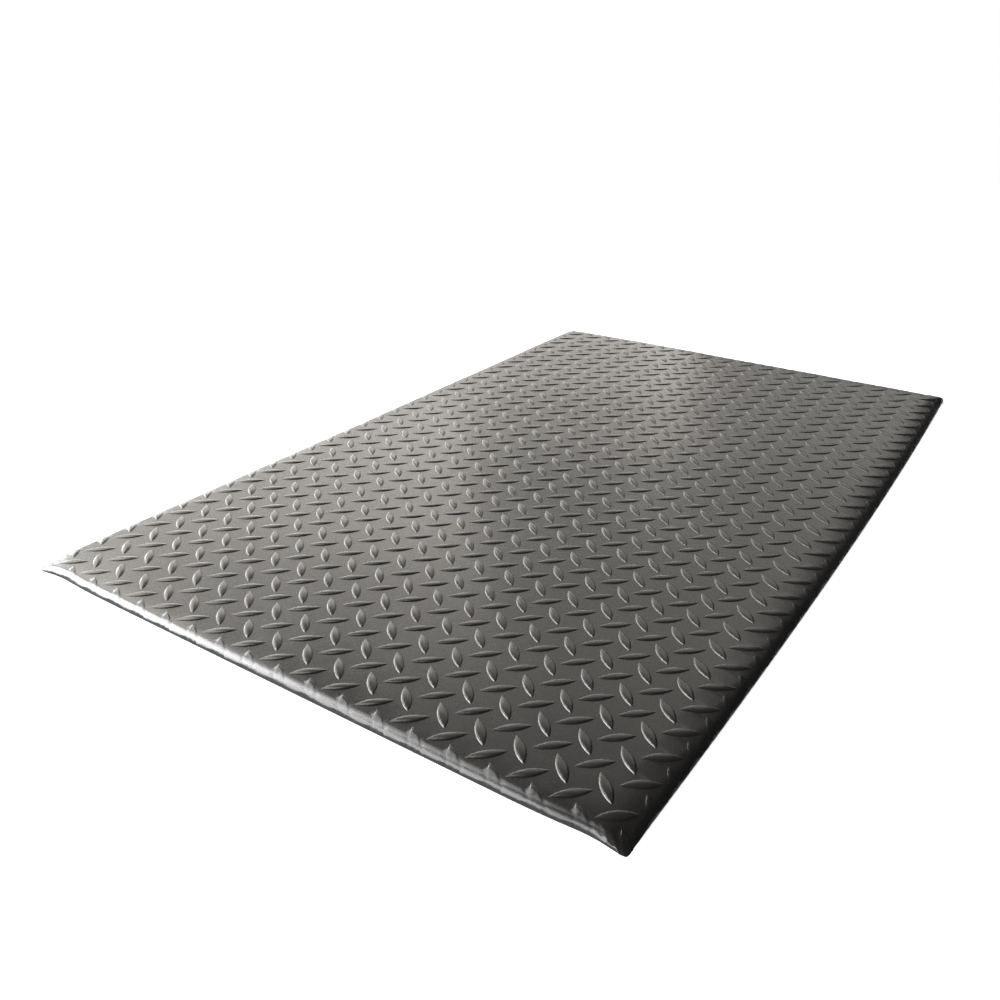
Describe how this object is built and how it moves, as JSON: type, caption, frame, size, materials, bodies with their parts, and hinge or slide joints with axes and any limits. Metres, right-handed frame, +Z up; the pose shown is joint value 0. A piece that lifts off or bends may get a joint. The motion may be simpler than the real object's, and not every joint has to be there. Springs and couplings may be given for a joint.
{
  "type": "anti-fatigue mat",
  "caption": "Cushioned standing mat with a diamond-plate vinyl top rolled down over a closed-cell foam core, and a thin base sheet.",
  "frame": {"origin": "on the floor, under the middle of the mat", "axes": "+Y along the long side, +X along the short side, +Z up"},
  "size_m": [0.9144, 1.524, 0.0143],
  "materials": {
    "embossed_vinyl": "satin, fine pebbled grain",
    "foam": "matte closed-cell foam",
    "base_vinyl": "matte, fine weave"
  },
  "bodies": {
    "root": {"top_sheet": "embossed_vinyl", "foam_core": "foam", "base_sheet": "base_vinyl"}
  },
  "joints": []
}
